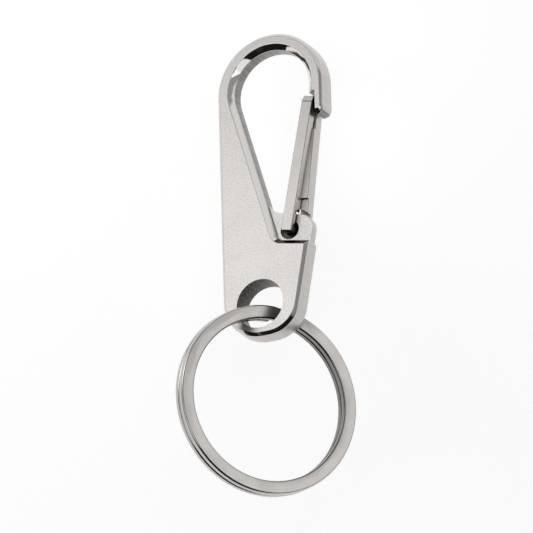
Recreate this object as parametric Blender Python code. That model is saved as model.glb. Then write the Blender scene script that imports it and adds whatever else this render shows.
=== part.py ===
"""Carabiner keyring: a flat hook plate, a sprung wire gate and a split ring.

Frame: origin on the plate's back face, 10 mm above the centre of the ring hole. +X points to the gate side,
+Y runs along the plate towards the top of the hook, +Z points out of the front face. Metres.
The dimensions below are measured from the centre of the ring hole, halfway through the plate.
"""

import math

import bmesh
import bpy
from mathutils import Matrix, Vector

MM = 0.001

# The frame's origin
ORIGIN_ABOVE_HOLE = 10.0 * MM

# Hook plate
PLATE_THICKNESS = 4.2 * MM
PLATE_LEFT_X = -6.92 * MM
OUTER_CHAMFER = 0.55 * MM
FOOT_BOTTOM_Y = -5.68 * MM                  # the round lower end is two arcs that meet there
FOOT_LEFT_RADIUS = 6.95 * MM
FOOT_RIGHT_RADIUS = 5.68 * MM
FOOT_RIGHT_X = 1.45 * MM                    # centre of the right arc
SIDE_LEAN = math.radians(10.8)              # lower right side, from +Y towards +X
CROWN_CENTRE = (2.84 * MM, 38.21 * MM)      # centre of the round top
RING_HOLE_RADIUS = 4.3 * MM

# Teardrop opening of the hook
BOW_CENTRE = (2.87 * MM, 38.3 * MM)
BOW_RADIUS = 6.9 * MM
WALL_LEAN = math.radians(15.6)              # slanted left wall, from +Y towards -X
INNER_CHAMFER = 0.9 * MM

# Nose of the hook, with the notch that the gate head closes into
NOSE_END_Y = 32.1 * MM
NOSE_CORNER_RADIUS = 1.6 * MM
NOTCH_WALL_X = 11.15 * MM
NOTCH_TOP_Y = 36.3 * MM

# Tongue that carries the gate, between two pockets
TONGUE_THICKNESS = 1.6 * MM
TONGUE_TOP = (4.05 * MM, 15.9 * MM)         # a point on its top edge
TONGUE_TOP_FALL = math.radians(13.9)        # top edge, falling towards +X
KNUCKLE_RADIUS = 2.6 * MM
TONGUE_FILLET = 3.5 * MM
POCKET_FLOOR = (3.88 * MM, 10.96 * MM)      # a point on the pocket's lower wall
POCKET_FALL = math.radians(11.0)            # lower wall, falling towards +X
POCKET_FILLET = 1.5 * MM
POCKET_TOP_Y = 18.4 * MM
PIVOT_RADIUS = 1.65 * MM
PIVOT_DEPTH = 0.65 * MM

# Gate: two legs, one over each pocket, joined at the head
LEG_WIDTH = 1.9 * MM
LEG_HEIGHT = 23.9 * MM                      # from the foot to the head's end, along the leg
FRONT_FOOT = (5.195 * MM, 12.2 * MM)
FRONT_LEAN = math.radians(11.4)             # from +Y towards +X
BACK_FOOT = (6.885 * MM, 11.95 * MM)
BACK_LEAN = math.radians(7.3)
EAR_Z = 1.1 * MM                            # inner face of the thin lower ends
NECK_Z = 0.05 * MM
BEAM_Z = -0.4 * MM                          # inner face of the deep middle stretch, where the legs meet
PRONG_Z = 0.45 * MM                         # tip of the pin that sits in the pivot hole
PRONG_HEIGHT = 1.0 * MM
NECK_BOTTOM = 3.6 * MM                      # heights along the leg
BEAM_BOTTOM = 6.1 * MM
BEAM_TOP = 18.5 * MM
HEAD_BOTTOM = 21.2 * MM
HEAD_BEVEL = (1.1 * MM, 0.5 * MM)           # along the leg, and in depth
NECK_RELIEF = 1.0 * MM                      # how much higher the neck's inner side starts
HEAD_LAP = 0.1 * MM

# Split ring: a flat wire wound twice round, with a step where it changes layer
RING_OUTER_RADIUS = 16.3 * MM
WIRE_WIDTH = 2.3 * MM
WIRE_THICKNESS = 1.25 * MM
WIRE_EDGE = 0.2 * MM                        # chamfer of the wire's corners
LAYER_PITCH = 1.35 * MM
STEP_START = math.radians(78.0)
STEP_SPAN = math.radians(16.0)
END_GAP = math.radians(2.5)
WINDING_STEPS = 150
RING_CENTRE = (-1.985 * MM, -16.158 * MM, 0.298 * MM)   # in the ring's own frame
RING_TURN = math.radians(51.25)             # about the plate's long axis
RING_TILT = math.radians(11.07)

HALF = PLATE_THICKNESS / 2
TONGUE_Z = TONGUE_THICKNESS / 2
ARC_STEP = math.radians(6.0)
WELD = 1e-7

# How far the cutters reach past the plate
CLEAR = 1.0 * MM
BEYOND_X = 16.0 * MM
NOTCH_CUT_LOW = (8.0 * MM, 30.0 * MM)
CHAMFER_INSET = 0.1 * MM


def arc(centre, radius, start, end):
    """Points along an arc, both ends included; end may be below start."""
    steps = max(2, round(abs(end - start) / ARC_STEP))
    angles = [start + (end - start) * i / steps for i in range(steps + 1)]
    return [(centre[0] + radius * math.cos(a), centre[1] + radius * math.sin(a)) for a in angles]


def crossing(point_a, angle_a, point_b, angle_b):
    """Where two lines meet, each given by a point and a direction angle."""
    ax, ay = math.cos(angle_a), math.sin(angle_a)
    bx, by = math.cos(angle_b), math.sin(angle_b)
    dx, dy = point_b[0] - point_a[0], point_b[1] - point_a[1]
    along = (dx * by - dy * bx) / (ax * by - ay * bx)
    return (point_a[0] + along * ax, point_a[1] + along * ay)


def rounded(corner, angle_in, angle_out, radius):
    """The arc that rounds a corner where a path turns from angle_in to angle_out."""
    turn = math.remainder(angle_out - angle_in, 2 * math.pi)
    back = radius * math.tan(abs(turn) / 2)
    side = math.copysign(math.pi / 2, turn)
    start = (corner[0] - back * math.cos(angle_in), corner[1] - back * math.sin(angle_in))
    centre = (start[0] + radius * math.cos(angle_in + side), start[1] + radius * math.sin(angle_in + side))
    return arc(centre, radius, angle_in - side, angle_in - side + turn)


def new_collection(name):
    collection = bpy.data.collections.new(name)
    bpy.context.scene.collection.children.link(collection)
    return collection


def material(name, colour, roughness):
    result = bpy.data.materials.new(name)
    result.use_nodes = True
    shader = result.node_tree.nodes["Principled BSDF"]
    shader.inputs["Base Color"].default_value = (*colour, 1.0)
    shader.inputs["Metallic"].default_value = 1.0
    shader.inputs["Roughness"].default_value = roughness
    return result


def as_mesh(curve_object, collection):
    """Replace a curve object with a mesh object whose caps are welded on."""
    bpy.context.view_layer.update()
    evaluated = curve_object.evaluated_get(bpy.context.evaluated_depsgraph_get())
    mesh = bpy.data.meshes.new_from_object(evaluated)
    work = bmesh.new()
    work.from_mesh(mesh)
    bmesh.ops.remove_doubles(work, verts=work.verts, dist=WELD)
    bmesh.ops.recalc_face_normals(work, faces=work.faces)
    work.to_mesh(mesh)
    work.free()
    name = curve_object.name
    placement = curve_object.matrix_world.copy()
    bpy.data.objects.remove(curve_object)
    result = bpy.data.objects.new(name, mesh)
    result.matrix_world = placement
    collection.objects.link(result)
    return result


def slab(name, outline, low, high, collection, bevel=0.0, offset=0.0):
    """A flat outline filled and extruded from low to high, with its rims bevelled outwards."""
    data = bpy.data.curves.new(name, "CURVE")
    data.dimensions = "2D"
    data.fill_mode = "BOTH"
    data.extrude = (high - low) / 2 - bevel
    data.bevel_depth = bevel
    data.bevel_resolution = 0
    data.offset = offset
    spline = data.splines.new("POLY")
    spline.points.add(len(outline) - 1)
    for point, (x, y) in zip(spline.points, outline):
        point.co = (x, y, 0.0, 1.0)
    spline.use_cyclic_u = True
    flat = bpy.data.objects.new(name, data)
    flat.location = (0.0, 0.0, (low + high) / 2)
    collection.objects.link(flat)
    return as_mesh(flat, collection)


def cylinder(name, centre, radius, low, high, collection):
    bpy.ops.mesh.primitive_cylinder_add(vertices=64, radius=radius, depth=high - low)
    result = bpy.context.object
    result.name = name
    result.location = (centre[0], centre[1], (low + high) / 2)
    for owner in result.users_collection:
        owner.objects.unlink(result)
    collection.objects.link(result)
    return result


def combine(target, tool, operation):
    """Join or cut. The tools' facets meet the plate's own edge to edge, which only MANIFOLD keeps closed."""
    modifier = target.modifiers.new(tool.name, "BOOLEAN")
    modifier.operation = operation
    modifier.solver = "MANIFOLD"
    modifier.object = tool


def hide(tools):
    for tool in tools:
        tool.hide_render = True
        tool.display_type = "WIRE"


def shade(target, degrees=30.0):
    target.data.shade_smooth()
    target.data.set_sharp_from_angle(angle=math.radians(degrees))


def wall_up():
    return math.pi / 2 + WALL_LEAN


def wall_point():
    """Where the slanted wall leaves the bow of the opening."""
    angle = math.pi + WALL_LEAN
    return (BOW_CENTRE[0] + BOW_RADIUS * math.cos(angle), BOW_CENTRE[1] + BOW_RADIUS * math.sin(angle))


def plate_outline():
    """The hook's outline at mid thickness, anticlockwise from the foot of the left side."""
    left_centre = (PLATE_LEFT_X + FOOT_LEFT_RADIUS, FOOT_BOTTOM_Y + FOOT_LEFT_RADIUS)
    right_centre = (FOOT_RIGHT_X, FOOT_BOTTOM_Y + FOOT_RIGHT_RADIUS)
    crown_radius = CROWN_CENTRE[0] - PLATE_LEFT_X
    right_x = CROWN_CENTRE[0] + crown_radius
    side_up = math.pi / 2 - SIDE_LEAN
    foot = arc(left_centre, FOOT_LEFT_RADIUS, math.pi, 1.5 * math.pi)
    foot += arc(right_centre, FOOT_RIGHT_RADIUS, 1.5 * math.pi, 2 * math.pi - SIDE_LEAN)
    top_left = math.pi - TONGUE_TOP_FALL
    knuckle = crossing(foot[-1], side_up, TONGUE_TOP, top_left)
    root = crossing(TONGUE_TOP, top_left, wall_point(), wall_up())
    nose_centre = (right_x - NOSE_CORNER_RADIUS, NOSE_END_Y + NOSE_CORNER_RADIUS)
    outline = foot
    outline += rounded(knuckle, side_up, top_left, KNUCKLE_RADIUS)
    outline += rounded(root, top_left, wall_up(), TONGUE_FILLET)
    outline += arc(BOW_CENTRE, BOW_RADIUS, math.pi + WALL_LEAN, 0.0)
    outline += [(BOW_CENTRE[0] + BOW_RADIUS, NOSE_END_Y)]
    outline += arc(nose_centre, NOSE_CORNER_RADIUS, -math.pi / 2, 0.0)
    outline += arc(CROWN_CENTRE, crown_radius, 0.0, math.pi)
    return outline


def pocket_corner():
    corner = crossing(wall_point(), wall_up(), POCKET_FLOOR, -POCKET_FALL)
    return rounded(corner, wall_up() + math.pi, -POCKET_FALL, POCKET_FILLET)


def pocket_exit(x):
    """The pocket's lower wall, where it runs out past the right side."""
    return (x, POCKET_FLOOR[1] - (x - POCKET_FLOOR[0]) * math.tan(POCKET_FALL))


def chamfer_outline():
    """The opening as the face shows it: the bow, the slanted wall and the pocket."""
    outline = arc(BOW_CENTRE, BOW_RADIUS, 0.0, math.pi + WALL_LEAN)
    outline += pocket_corner()
    outline += [pocket_exit(BEYOND_X), (BEYOND_X, NOSE_END_Y), (BOW_CENTRE[0] + BOW_RADIUS, NOSE_END_Y)]
    return outline


def pocket_outline():
    """The pocket alone, from the slanted wall to past the right side."""
    start = crossing(wall_point(), wall_up(), (0.0, POCKET_TOP_Y), 0.0)
    return [start] + pocket_corner() + [pocket_exit(BEYOND_X), (BEYOND_X, start[1])]


def notch_outline():
    low_x, low_y = NOTCH_CUT_LOW
    return [(low_x, low_y), (NOTCH_WALL_X, low_y), (NOTCH_WALL_X, NOTCH_TOP_Y), (low_x, NOTCH_TOP_Y)]


def prong_centre(foot, lean):
    along = PRONG_HEIGHT / 2
    return (foot[0] + along * math.sin(lean), foot[1] + along * math.cos(lean))


def levels(side, inner, outer):
    """Two heights on one side of mid thickness, lower first."""
    return sorted((side * inner, side * outer))


def side_cutters(label, side, foot, lean, tools):
    """The pocket, the opening's chamfer and the pivot hole on one side of the plate."""
    pocket_low, pocket_high = levels(side, TONGUE_Z, HALF + CLEAR)
    chamfer_depth = INNER_CHAMFER + CHAMFER_INSET + CLEAR
    chamfer_start = HALF - INNER_CHAMFER - CHAMFER_INSET
    chamfer_low, chamfer_high = levels(side, chamfer_start, chamfer_start + 2 * chamfer_depth)
    bevel = chamfer_depth - CHAMFER_INSET
    pivot_low, pivot_high = levels(side, TONGUE_Z - PIVOT_DEPTH, HALF + CLEAR)
    return [
        slab("pocket_" + label, pocket_outline(), pocket_low, pocket_high, tools),
        slab("chamfer_" + label, chamfer_outline(), chamfer_low, chamfer_high, tools, bevel, -CHAMFER_INSET),
        cylinder("pivot_" + label, prong_centre(foot, lean), PIVOT_RADIUS, pivot_low, pivot_high, tools),
    ]


def make_plate(parts, tools):
    plate = slab("hook_plate", plate_outline(), -HALF, HALF, parts, OUTER_CHAMFER, -OUTER_CHAMFER)
    cutters = side_cutters("front", 1, FRONT_FOOT, FRONT_LEAN, tools)
    cutters += side_cutters("back", -1, BACK_FOOT, BACK_LEAN, tools)
    cutters.append(slab("notch", notch_outline(), -HALF - CLEAR, HALF + CLEAR, tools))
    cutters.append(cylinder("ring_hole", (0.0, 0.0), RING_HOLE_RADIUS, -HALF - CLEAR, HALF + CLEAR, tools))
    for cutter in cutters:
        combine(plate, cutter, "DIFFERENCE")
    hide(cutters)
    plate.data.materials.append(material("plate_titanium", (0.62, 0.60, 0.58), 0.35))
    shade(plate)


def leg_profile():
    """A leg seen from the side: height along the leg, then depth from mid thickness."""
    return [
        (0.0, PRONG_Z), (PRONG_HEIGHT, PRONG_Z), (PRONG_HEIGHT, EAR_Z),
        (NECK_BOTTOM, EAR_Z), (NECK_BOTTOM, NECK_Z), (BEAM_BOTTOM, NECK_Z),
        (BEAM_BOTTOM, BEAM_Z), (BEAM_TOP, BEAM_Z), (BEAM_TOP, NECK_Z),
        (HEAD_BOTTOM, NECK_Z), (HEAD_BOTTOM, -HEAD_LAP), (LEG_HEIGHT, -HEAD_LAP),
        (LEG_HEIGHT, HALF - HEAD_BEVEL[1]), (LEG_HEIGHT - HEAD_BEVEL[0], HALF), (0.0, HALF),
    ]


def leg_frame(foot, lean):
    """Axes of a leg: up along it, +Z, and across it, with the origin at its foot."""
    up = Vector((math.sin(lean), math.cos(lean), 0.0))
    depth = Vector((0.0, 0.0, 1.0))
    across = up.cross(depth)
    frame = Matrix((up, depth, across)).transposed().to_4x4()
    frame.translation = Vector((foot[0], foot[1], 0.0))
    return frame


def make_relief(name, placement, side, tools):
    """A wedge that lets the neck's inner face start lower on the outside than towards the gap.

    The quarter turn about X stands the outline up across the leg and turns its height against the leg's depth.
    """
    across = placement.to_3x3().col[2]
    towards_gap = 1.0 if across.x < 0 else -1.0
    below = NECK_BOTTOM - CLEAR
    outline = [(below, -LEG_WIDTH), (below, LEG_WIDTH)]
    for edge in (LEG_WIDTH, -LEG_WIDTH):
        rise = NECK_RELIEF * (towards_gap * edge / LEG_WIDTH + 0.5)
        outline.append((NECK_BOTTOM + rise, edge))
    low, high = levels(-side, 0.0, EAR_Z)
    wedge = slab(name, outline, low, high, tools)
    wedge.matrix_world = placement @ Matrix.Rotation(math.pi / 2, 4, "X") @ wedge.matrix_world
    return wedge


def make_leg(name, foot, lean, side, collection, tools):
    outline = [(height, side * depth) for height, depth in leg_profile()]
    placement = leg_frame(foot, lean)
    leg = slab(name, outline, -LEG_WIDTH / 2, LEG_WIDTH / 2, collection)
    leg.matrix_world = placement
    return leg, make_relief(name + "_relief", placement, side, tools)


def pivot_axis():
    """Where the gate turns: halfway between its two prongs, at mid thickness."""
    front = Vector(prong_centre(FRONT_FOOT, FRONT_LEAN))
    back = Vector(prong_centre(BACK_FOOT, BACK_LEAN))
    return ((front + back) / 2).to_3d()


def make_gate(parts, tools):
    gate, front_relief = make_leg("spring_gate", FRONT_FOOT, FRONT_LEAN, 1, parts, tools)
    back, back_relief = make_leg("back_leg", BACK_FOOT, BACK_LEAN, -1, tools, tools)
    combine(gate, back, "UNION")
    combine(gate, front_relief, "DIFFERENCE")
    combine(gate, back_relief, "DIFFERENCE")
    hide([back, front_relief, back_relief])
    axis = pivot_axis()
    gate.data.transform(Matrix.Translation(-axis) @ gate.matrix_world)
    gate.matrix_world = Matrix.Translation(axis)
    gate.data.materials.append(material("gate_titanium", (0.60, 0.58, 0.56), 0.32))
    shade(gate)


def wire_height(angle):
    """Height of the wire's centre: upper layer, a smooth step down, then the lower layer."""
    step = min(max((angle - 2 * math.pi) / STEP_SPAN, 0.0), 1.0)
    return LAYER_PITCH * (0.5 - step * step * (3 - 2 * step))


def make_section(collection):
    """The flat wire's cross-section, with chamfered corners."""
    across, up = WIRE_WIDTH / 2, WIRE_THICKNESS / 2
    quarter = [(across, up - WIRE_EDGE), (across - WIRE_EDGE, up)]
    left = [(-x, y) for x, y in reversed(quarter)]
    upper = quarter + left
    outline = upper + [(-x, -y) for x, y in upper]
    data = bpy.data.curves.new("wire_section", "CURVE")
    data.dimensions = "2D"
    spline = data.splines.new("POLY")
    spline.points.add(len(outline) - 1)
    for point, (x, y) in zip(spline.points, outline):
        point.co = (x, y, 0.0, 1.0)
    spline.use_cyclic_u = True
    section = bpy.data.objects.new("wire_section", data)
    collection.objects.link(section)
    return section


def winding():
    """The wire's centre line: two turns, clockwise seen from the front."""
    first = STEP_SPAN + END_GAP
    last = 4 * math.pi - END_GAP
    radius = RING_OUTER_RADIUS - WIRE_WIDTH / 2
    for i in range(WINDING_STEPS + 1):
        angle = first + (last - first) * i / WINDING_STEPS
        turn = STEP_START - angle
        across = Vector((math.cos(turn), math.sin(turn), 0.0)) * radius
        yield Vector(RING_CENTRE) + across + Vector((0.0, 0.0, wire_height(angle)))


def make_ring(parts):
    section = make_section(parts)
    path = bpy.data.curves.new("split_ring", "CURVE")
    path.dimensions = "3D"
    path.twist_mode = "Z_UP"
    path.bevel_mode = "OBJECT"
    path.bevel_object = section
    path.use_fill_caps = True
    spline = path.splines.new("POLY")
    spline.points.add(WINDING_STEPS)
    for point, place in zip(spline.points, winding()):
        point.co = (*place, 1.0)
    wound = bpy.data.objects.new("split_ring", path)
    wound.rotation_mode = "YXZ"
    wound.rotation_euler = (RING_TILT, RING_TURN, 0.0)
    parts.objects.link(wound)
    ring = as_mesh(wound, parts)
    bpy.data.objects.remove(section)
    ring.data.materials.append(material("ring_titanium", (0.58, 0.55, 0.52), 0.3))
    shade(ring)


def main():
    for leftover in list(bpy.data.objects):
        bpy.data.objects.remove(leftover)
    parts = new_collection("carabiner_keyring")
    tools = new_collection("cutters")
    make_plate(parts, tools)
    make_gate(parts, tools)
    make_ring(parts)
    for item in [*parts.objects, *tools.objects]:
        item.location += Vector((0.0, -ORIGIN_ABOVE_HOLE, HALF))


main()
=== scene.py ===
"""Looks of the carabiner keyring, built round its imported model.

Everything is in metres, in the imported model's frame: origin on the plate's back face, +X to the gate
side, +Y up the plate, +Z out of its front face. The keyring floats a little above a pale table that faces
the camera, so that the ring can swing clear of it.
"""

import math

import bmesh
import bpy
from mathutils import Matrix, Vector


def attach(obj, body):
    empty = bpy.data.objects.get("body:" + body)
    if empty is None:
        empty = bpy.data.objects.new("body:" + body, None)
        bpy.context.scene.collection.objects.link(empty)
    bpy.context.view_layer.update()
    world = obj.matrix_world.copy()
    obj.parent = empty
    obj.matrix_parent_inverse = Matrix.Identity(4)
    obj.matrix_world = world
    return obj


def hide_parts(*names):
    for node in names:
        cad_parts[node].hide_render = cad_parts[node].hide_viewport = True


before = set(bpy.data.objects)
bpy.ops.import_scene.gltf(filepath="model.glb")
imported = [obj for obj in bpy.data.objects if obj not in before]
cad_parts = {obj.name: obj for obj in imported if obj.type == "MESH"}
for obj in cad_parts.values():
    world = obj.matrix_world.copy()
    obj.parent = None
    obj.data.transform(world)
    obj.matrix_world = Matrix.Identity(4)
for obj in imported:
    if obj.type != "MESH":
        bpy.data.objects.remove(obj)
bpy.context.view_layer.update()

MM = 0.001
WELD = 1e-7

# Rounding of the edges
PLATE_EDGE = 0.07 * MM
GATE_EDGE = 0.09 * MM
RING_EDGE = 0.07 * MM
SHARP = math.radians(24.0)                      # edges sharper than this are rounded
FLAT = math.radians(1.0)                        # faces flatter than this are joined
SLIVER = 0.02 * MM                              # edges shorter than this go

# Scale of the finishes: noise per metre, and depths
FINE_GRAIN = 3600.0
BROAD_GRAIN = 260.0
TURNED_GRAIN = 6000.0
GRAIN_DEPTH = 0.02 * MM
CREVICE_SHADE_REACH = 1.0 * MM                              # reach of the painted shade in crevices
ALONG_DEPTH = (1.0, 1.0, 0.05)                  # draws the grain out into lines along the plate's depth

# Camera: a long lens, so the view has no perspective
CAMERA_AZIMUTH = math.radians(47.44)
CAMERA_ELEVATION = math.radians(57.37)
CAMERA_ROLL = math.radians(-53.87)
CAMERA_DISTANCE = 0.6
VIEW_WIDTH = 89.3 * MM
VIEW_CENTRE = (-0.45 * MM, -1.79 * MM)          # right and up of the origin, in the view

# Table and background, in linear light
TABLE_SIZE = 3.0
TABLE_GAP = 5.0 * MM                            # room below the keyring for the ring to swing
TABLE_TONE = 0.60
TABLE_GLOW = 0.71
PAST_TABLE = 0.96

# Split ring: the two angles of its axis, and its centre
RING_TURN = math.radians(51.25)
RING_TILT = math.radians(11.07)
RING_CENTRE = Vector((-1.01 * MM, -26.19 * MM, 0.70 * MM))

# Centres of the plate's ring hole and of its opening's round end, and the reach of each one's wall
HOLE = Vector((0.0, -10.0 * MM))
HOLE_REACH = 4.5 * MM
BOW = Vector((2.87 * MM, 28.3 * MM))
BOW_REACH = 8.5 * MM

# Middle of the gate's two pivot holes, and what lies in their shade
PIVOT = Vector((6.12 * MM, 2.57 * MM))
PIVOT_REACH = 2.4 * MM
PIVOT_FLOOR = 10.0 * MM * MM                    # flat faces smaller than this are floors of the holes
FOOT_REACH = 1.5 * MM
FOOT_DEPTHS = (0.9 * MM, 3.3 * MM)              # between the plate's faces
NOSE_X = 9.0 * MM                               # the nose is on this one's far side
TONGUE_Y = 4.0 * MM                             # the pocket under the gate is below this

# Kinds of surface, each with a material of its own; BORE, INNER and DARK are painted shade
FACE, CHAMFER, OUTER, WALL, BORE, INNER, DARK, EDGE = range(8)


def to_camera():
    """Direction from the keyring to the camera."""
    a, e = CAMERA_AZIMUTH, CAMERA_ELEVATION
    return Vector((math.sin(a) * math.cos(e), -math.cos(a) * math.cos(e), math.sin(e)))


def ring_axis():
    """Axis of the split ring."""
    a, e = RING_TURN, RING_TILT
    return Vector((math.sin(a), -math.sin(e) * math.cos(a), math.cos(e) * math.cos(a)))


# ---------------------------------------------------------------- pieces

def finer(node, name, body, edge_width):
    """A piece that stands for a CAD node: the same solid, with clean faces and rounded edges."""
    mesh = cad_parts[node].data.copy()
    mesh.name = name
    mesh.materials.clear()
    work = bmesh.new()
    work.from_mesh(mesh)
    bmesh.ops.remove_doubles(work, verts=work.verts, dist=WELD)
    bmesh.ops.dissolve_limit(work, angle_limit=FLAT, verts=work.verts, edges=work.edges)
    bmesh.ops.dissolve_degenerate(work, dist=SLIVER, edges=work.edges)
    work.to_mesh(mesh)
    work.free()
    piece = bpy.data.objects.new(name, mesh)
    bpy.context.scene.collection.objects.link(piece)
    mesh.shade_smooth()
    rounding = piece.modifiers.new("rounded_edges", "BEVEL")
    rounding.width = edge_width
    rounding.segments = 3
    rounding.limit_method = "ANGLE"
    rounding.angle_limit = SHARP
    rounding.use_clamp_overlap = False
    rounding.harden_normals = True
    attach(piece, body)
    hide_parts(node)
    return piece


def plate_face_kind(face):
    """Which material a face of the plate has, from its direction and place; its holes, pocket and inner
    walls get painted shade.
    """
    lean = abs(face.normal.z)
    centre = face.calc_center_median().xy
    level = lean > 0.98
    inward = face.normal.xy.dot(centre - BOW) < 0.0
    in_pivot = lean < 0.1 or level and face.calc_area() < PIVOT_FLOOR
    # Painted shade: the pivot holes, the pocket under the gate, the ring hole's bore, the opening's inner
    # walls and the nose's end take darker materials
    if in_pivot and (centre - PIVOT).length < PIVOT_REACH:
        return DARK
    if level:
        return FACE
    if lean > 0.2:
        if face.normal.y > 0.5 and abs(centre.y) < TONGUE_Y:
            return DARK
        return CHAMFER if inward and centre.y > 0.0 else OUTER
    if (centre - HOLE).length < HOLE_REACH:
        return BORE
    if inward and (centre - BOW).length < BOW_REACH:
        return INNER
    if face.normal.x > 0.9 and centre.y > TONGUE_Y and centre.x < NOSE_X:
        return INNER
    if face.normal.y < -0.6 and centre.x > NOSE_X:
        return INNER
    return WALL


def gate_face_kind(face):
    """Which material a face of the gate has: its feet and what looks down get painted shade."""
    centre = face.calc_center_median()
    if (centre.xy - PIVOT).length < FOOT_REACH and FOOT_DEPTHS[0] < centre.z < FOOT_DEPTHS[1]:
        return DARK
    if abs(face.normal.z) > 0.8:
        return FACE
    return DARK if face.normal.y < -0.7 else WALL


def ring_face_kind(face):
    """Flat faces, rims and the chamfers between them, from the angle to the ring's axis."""
    axis = ring_axis()
    lean = abs(face.normal.dot(axis))
    # Faces that look into the ring take painted shade
    inner = face.normal.dot(face.calc_center_median() - RING_CENTRE) < 0.0
    if lean > 0.9:
        return FACE
    if lean > 0.3:
        return INNER if inner else CHAMFER
    return BORE if inner else WALL


def paint(piece, kind_of, finishes_and_shade):
    """Give a piece its materials, painted shade among them, and each face the one that kind_of picks for it.
    """
    slots = list(finishes_and_shade)
    for kind in slots:
        piece.data.materials.append(finishes_and_shade[kind])
    piece.modifiers["rounded_edges"].material = slots.index(EDGE)
    work = bmesh.new()
    work.from_mesh(piece.data)
    work.transform(piece.matrix_world)
    kinds = [kind_of(face) for face in work.faces]
    work.transform(piece.matrix_world.inverted())
    for face, kind in zip(work.faces, kinds):
        face.material_index = slots.index(kind)
        face.smooth = kind != FACE or abs(face.normal.z) < 0.9995
    work.to_mesh(piece.data)
    work.free()


# ---------------------------------------------------------------- materials

class Nodes:
    """A short way to add shader nodes and links."""

    def __init__(self, tree):
        self.tree = tree

    def add(self, kind, inputs=None, **settings):
        """Add a node, with its settings and the values or links of its inputs."""
        node = self.tree.nodes.new(kind)
        for key, value in settings.items():
            setattr(node, key, value)
        for key, value in (inputs or {}).items():
            self.put(node.inputs[key], value)
        return node

    def put(self, socket, value):
        if isinstance(value, bpy.types.NodeSocket):
            self.tree.links.new(value, socket)
        else:
            socket.default_value = value

    def math(self, operation, *values):
        node = self.add("ShaderNodeMath", operation=operation)
        for socket, value in zip(node.inputs, values):
            self.put(socket, value)
        return node.outputs[0]

    def dot(self, vector, axis):
        node = self.add("ShaderNodeVectorMath", operation="DOT_PRODUCT")
        self.put(node.inputs[0], vector)
        self.put(node.inputs[1], axis)
        return node.outputs["Value"]

    def smooth(self, value, low, high, to_low=0.0, to_high=1.0):
        """Ease from to_low to to_high as the value goes from low to high."""
        inputs = {"Value": value, "From Min": low, "From Max": high, "To Min": to_low, "To Max": to_high}
        node = self.add("ShaderNodeMapRange", inputs, interpolation_type="SMOOTHSTEP")
        return node.outputs[0]

    def mix(self, factor, first, second, data_type="RGBA"):
        node = self.add("ShaderNodeMix", data_type=data_type)
        self.put(node.inputs["Factor"], factor)
        self.put(node.inputs["A"], first)
        self.put(node.inputs["B"], second)
        return node.outputs["Result"]

    def noise(self, scale, detail=2.0, stretch=(1.0, 1.0, 1.0)):
        place = self.add("ShaderNodeTexCoord").outputs["Object"]
        mapping = self.add("ShaderNodeMapping", {"Vector": place, "Scale": stretch})
        inputs = {"Vector": mapping.outputs[0], "Scale": scale, "Detail": detail}
        return self.add("ShaderNodeTexNoise", inputs).outputs["Fac"]


def turned(nodes, centre):
    """Fine lines round a centre, as turning leaves them; the centre is a point of the frame."""
    place = nodes.add("ShaderNodeTexCoord").outputs["Object"]
    reach = nodes.add("ShaderNodeVectorMath", operation="DISTANCE")
    nodes.put(reach.inputs[0], place)
    nodes.put(reach.inputs[1], centre)
    inputs = {"W": reach.outputs["Value"], "Scale": TURNED_GRAIN}
    return nodes.add("ShaderNodeTexNoise", inputs, noise_dimensions="1D").outputs["Fac"]


def scaled(colour, factor):
    """A colour made darker or lighter, with its alpha."""
    return (*[min(1.0, part * factor) for part in colour], 1.0)


def metal(name, colour, roughness, grain=0.0, stretch=(1.0, 1.0, 1.0), mottle=0.0, spread=0.0, lathe=None):
    """A bare metal, with painted shade that darkens its crevices.

    Grain is the bump's strength, mottle the change in colour and spread the change in roughness. The
    grain is drawn out by stretch, or runs round the point given as lathe.
    """
    result = bpy.data.materials.new(name)
    result.use_nodes = True
    nodes = Nodes(result.node_tree)
    shader = result.node_tree.nodes["Principled BSDF"]
    shader.inputs["Metallic"].default_value = 1.0
    fine = turned(nodes, lathe) if lathe else nodes.noise(FINE_GRAIN, 2.0, stretch)
    broad = nodes.noise(BROAD_GRAIN, 3.0)
    both = nodes.math("ADD", nodes.math("MULTIPLY", fine, 0.85), nodes.math("MULTIPLY", broad, 0.15))
    darker, lighter = scaled(colour, 1.0 - mottle), scaled(colour, 1.0 + mottle)
    shade = nodes.mix(nodes.smooth(both, 0.35, 0.65), darker, lighter)
    # Painted shade: the colour falls towards a quarter of itself where ambient occlusion finds a crevice
    open_sky = nodes.add("ShaderNodeAmbientOcclusion", {"Distance": CREVICE_SHADE_REACH}, samples=6).outputs["AO"]
    shade = nodes.mix(nodes.smooth(open_sky, 0.1, 0.75), scaled(colour, 0.25), shade)
    nodes.put(shader.inputs["Base Color"], shade)
    rough = nodes.smooth(broad, 0.3, 0.7, roughness - spread, roughness + spread)
    nodes.put(shader.inputs["Roughness"], rough)
    if grain:
        bump = nodes.add("ShaderNodeBump", {"Strength": grain, "Distance": GRAIN_DEPTH, "Height": fine})
        nodes.put(shader.inputs["Normal"], bump.outputs[0])
    return result


# Colours of the metal, by finish, and darker copies that are painted shade
BLASTED = (0.705, 0.675, 0.655)
POLISHED = (0.74, 0.72, 0.70)
OUTLINE = (0.60, 0.58, 0.565)
ROUNDED = (0.60, 0.58, 0.57)
SATIN = (0.52, 0.50, 0.485)
# Painted shade: the opening's inner walls and the nose's end, a darker copy of the satin wall
SHADED = (0.22, 0.21, 0.203)
# Painted shade, with a real grain: the ring hole's bore
BORE_SHADE = (0.06, 0.058, 0.055)
# Painted shade: the pivot holes, the pocket under the gate, the gate's feet and its faces that look down
DEEP_SHADE = (0.06, 0.057, 0.055)
PRESSED = (0.555, 0.535, 0.515)
# Painted shade: the gate's rounded edges, a darker copy of its pressed face, for the dark line along them
PRESSED_EDGE = (0.26, 0.25, 0.24)
RING_FLAT = (0.68, 0.65, 0.625)
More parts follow.
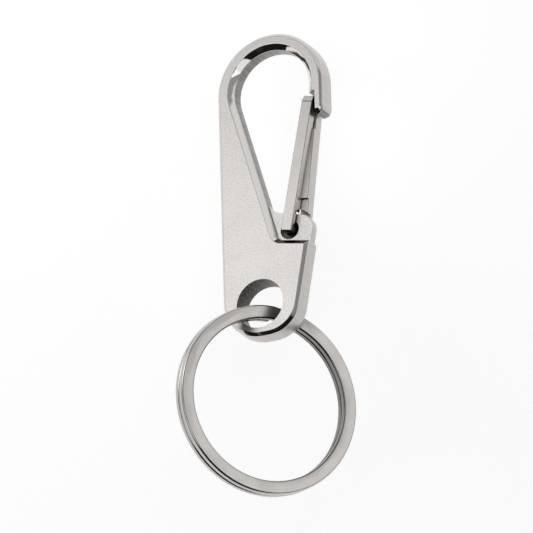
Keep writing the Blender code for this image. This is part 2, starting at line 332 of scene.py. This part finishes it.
# Painted shade: the ring's inner wall and inner chamfer, darker copies of its outer ones
RING_INSIDE = (0.20, 0.195, 0.19)
RING_INSIDE_EDGE = (0.12, 0.115, 0.11)
RING_ROUNDED = (0.30, 0.29, 0.28)


def build_plate():
    plate = finer("hook_plate", "plate_metal", "plate", PLATE_EDGE)
    paint(plate, plate_face_kind, {
        FACE: metal("blasted_face", BLASTED, 0.42, grain=0.25, mottle=0.09, spread=0.02),
        CHAMFER: metal("polished_chamfer", POLISHED, 0.07, mottle=0.01, spread=0.02),
        OUTER: metal("outer_chamfer", OUTLINE, 0.1, mottle=0.04, spread=0.03),
        WALL: metal("satin_wall", SATIN, 0.30, grain=0.12, stretch=ALONG_DEPTH, mottle=0.05, spread=0.03),
        BORE: metal("bore_wall", BORE_SHADE, 0.38, grain=0.6, mottle=0.5, spread=0.03),
        INNER: metal("inner_wall", SHADED, 0.30, grain=0.2, stretch=ALONG_DEPTH, mottle=0.2, spread=0.03),
        DARK: metal("pocket_shade", DEEP_SHADE, 0.2, mottle=0.2, spread=0.02),
        EDGE: metal("plate_edge", ROUNDED, 0.16, mottle=0.02, spread=0.03),
    })
    return plate


def build_gate():
    gate = finer("spring_gate", "gate_metal", "gate", GATE_EDGE)
    paint(gate, gate_face_kind, {
        FACE: metal("gate_face", PRESSED, 0.36, grain=0.2, mottle=0.06, spread=0.03),
        WALL: metal("gate_wall", SATIN, 0.30, grain=0.1, mottle=0.06, spread=0.03),
        DARK: metal("gate_shade", DEEP_SHADE, 0.2, mottle=0.2, spread=0.02),
        EDGE: metal("gate_edge", PRESSED_EDGE, 0.2, mottle=0.05, spread=0.03),
    })
    return gate


def build_ring():
    ring = finer("split_ring", "ring_metal", "ring", RING_EDGE)
    paint(ring, ring_face_kind, {
        FACE: metal("ring_face", RING_FLAT, 0.30, grain=0.15, mottle=0.09, spread=0.08, lathe=RING_CENTRE),
        CHAMFER: metal("ring_chamfer", POLISHED, 0.1, mottle=0.03, spread=0.02),
        WALL: metal("ring_wall", SATIN, 0.2, grain=0.08, mottle=0.05, spread=0.04),
        BORE: metal("ring_inner_wall", RING_INSIDE, 0.2, grain=0.08, mottle=0.1, spread=0.04),
        INNER: metal("ring_inner_chamfer", RING_INSIDE_EDGE, 0.15, mottle=0.1, spread=0.03),
        EDGE: metal("ring_edge", RING_ROUNDED, 0.12, mottle=0.02, spread=0.02),
    })
    return ring


# ---------------------------------------------------------------- studio

def direction(azimuth, elevation):
    """A direction in the plate's frame: azimuth from +X towards +Y, elevation towards +Z, in degrees."""
    a, e = math.radians(azimuth), math.radians(elevation)
    return Vector((math.cos(a) * math.cos(e), math.sin(a) * math.cos(e), math.sin(e)))


def card(nodes, ray, below, azimuth, elevation, half_width, half_height, tone, soft=0.04):
    """Lay a card of one tone over what the sky already shows; its place and half sizes are in degrees."""
    centre = direction(azimuth, elevation)
    right = Vector((0.0, 0.0, 1.0)).cross(centre).normalized()
    up = centre.cross(right)
    wide, high = math.sin(math.radians(half_width)), math.sin(math.radians(half_height))
    across = nodes.math("ABSOLUTE", nodes.dot(ray, right))
    along = nodes.math("ABSOLUTE", nodes.dot(ray, up))
    mask = nodes.math("MULTIPLY", nodes.smooth(across, wide + soft, wide - soft),
                      nodes.smooth(along, high + soft, high - soft))
    ahead = nodes.math("GREATER_THAN", nodes.dot(ray, centre), 0.0)
    return nodes.mix(nodes.math("MULTIPLY", mask, ahead), below, tone, "FLOAT")


def make_sky():
    """Pale tent with one black and two grey cards, and plain white where the camera looks past the table."""
    world = bpy.data.worlds.new("studio")
    bpy.context.scene.world = world
    world.use_nodes = True
    nodes = Nodes(world.node_tree)
    ray = nodes.add("ShaderNodeTexCoord").outputs["Generated"]
    tone = nodes.smooth(nodes.dot(ray, to_camera()), -0.1, 1.0, 0.8, 0.95)
    tone = card(nodes, ray, tone, -88.0, 22.0, 66.0, 34.0, 0.01)
    tone = card(nodes, ray, tone, 5.0, 34.0, 30.0, 12.0, 0.35, 0.06)
    tone = card(nodes, ray, tone, 137.0, 57.0, 38.0, 38.0, 0.42, 0.2)
    seen = nodes.add("ShaderNodeLightPath").outputs["Is Camera Ray"]
    background = world.node_tree.nodes["Background"]
    nodes.put(background.inputs["Color"], nodes.mix(seen, tone, PAST_TABLE, "FLOAT"))


def table_material():
    """Pale and faintly glowing; the view goes through it from below and along it."""
    result = bpy.data.materials.new("table")
    result.use_nodes = True
    nodes = Nodes(result.node_tree)
    shader = result.node_tree.nodes["Principled BSDF"]
    shader.inputs["Base Color"].default_value = (TABLE_TONE, TABLE_TONE, TABLE_TONE, 1.0)
    shader.inputs["Roughness"].default_value = 0.9
    shader.inputs["Specular IOR Level"].default_value = 0.0
    shader.inputs["Emission Color"].default_value = (1.0, 1.0, 1.0, 1.0)
    shader.inputs["Emission Strength"].default_value = TABLE_GLOW
    clear = nodes.add("ShaderNodeBsdfTransparent")
    below = nodes.add("ShaderNodeNewGeometry").outputs["Backfacing"]
    seen = nodes.add("ShaderNodeLightPath").outputs["Is Camera Ray"]
    grazing = nodes.smooth(nodes.add("ShaderNodeLayerWeight").outputs["Facing"], 0.7, 0.9)
    through = nodes.math("MAXIMUM", below, nodes.math("MULTIPLY", seen, grazing))
    blend = nodes.add("ShaderNodeMixShader")
    for socket, value in zip(blend.inputs, (through, shader.outputs[0], clear.outputs[0])):
        nodes.put(socket, value)
    nodes.put(result.node_tree.nodes["Material Output"].inputs["Surface"], blend.outputs[0])
    return result


def make_table(pieces):
    """A table that faces the camera, a little below the lowest point of the pieces at rest."""
    up = to_camera()
    points = [piece.matrix_world @ vertex.co for piece in pieces for vertex in piece.data.vertices]
    height = min(point.dot(up) for point in points) - TABLE_GAP
    bpy.ops.mesh.primitive_plane_add(size=TABLE_SIZE)
    table = bpy.context.object
    table.name = "table"
    table.matrix_world = Matrix.Translation(up * height) @ up.to_track_quat("Z", "Y").to_matrix().to_4x4()
    table.data.materials.append(table_material())


def make_light(name, target, towards, distance, size, radiance):
    """A square soft light of a given radiance that faces a target point; the camera doesn't see it."""
    data = bpy.data.lights.new(name, "AREA")
    data.shape = "SQUARE"
    data.size = size
    data.energy = radiance * math.pi * size * size
    light = bpy.data.objects.new(name, data)
    light.location = Vector(target) + towards * distance
    light.rotation_mode = "QUATERNION"
    light.rotation_quaternion = towards.to_track_quat("Z", "Y")
    light.visible_camera = False
    bpy.context.scene.collection.objects.link(light)


def make_camera():
    """A camera without perspective, at the angle given above."""
    back = to_camera()
    level = Vector((math.cos(CAMERA_AZIMUTH), math.sin(CAMERA_AZIMUTH), 0.0))
    upright = back.cross(level)
    right = level * math.cos(CAMERA_ROLL) + upright * math.sin(CAMERA_ROLL)
    up = back.cross(right)
    data = bpy.data.cameras.new("camera")
    data.type = "ORTHO"
    data.ortho_scale = VIEW_WIDTH
    camera = bpy.data.objects.new("camera", data)
    turn = Matrix((right, up, back)).transposed().to_4x4()
    place = right * VIEW_CENTRE[0] + up * VIEW_CENTRE[1] + back * CAMERA_DISTANCE
    camera.matrix_world = Matrix.Translation(place) @ turn
    bpy.context.scene.collection.objects.link(camera)
    bpy.context.scene.camera = camera


def build_studio(pieces):
    make_sky()
    make_table(pieces)
    make_light("key", (0.0, -20.0 * MM, 4.0 * MM), direction(137.4, 57.4), 0.16, 0.085, 1.25)
    make_light("low_side", (2.0 * MM, 34.0 * MM, 4.0 * MM), direction(-50.0, 31.5), 0.03, 0.018, 1.0)
    make_camera()
    scene = bpy.context.scene
    scene.view_settings.view_transform = "Standard"
    scene.view_settings.look = "None"


build_studio((build_plate(), build_gate(), build_ring()))
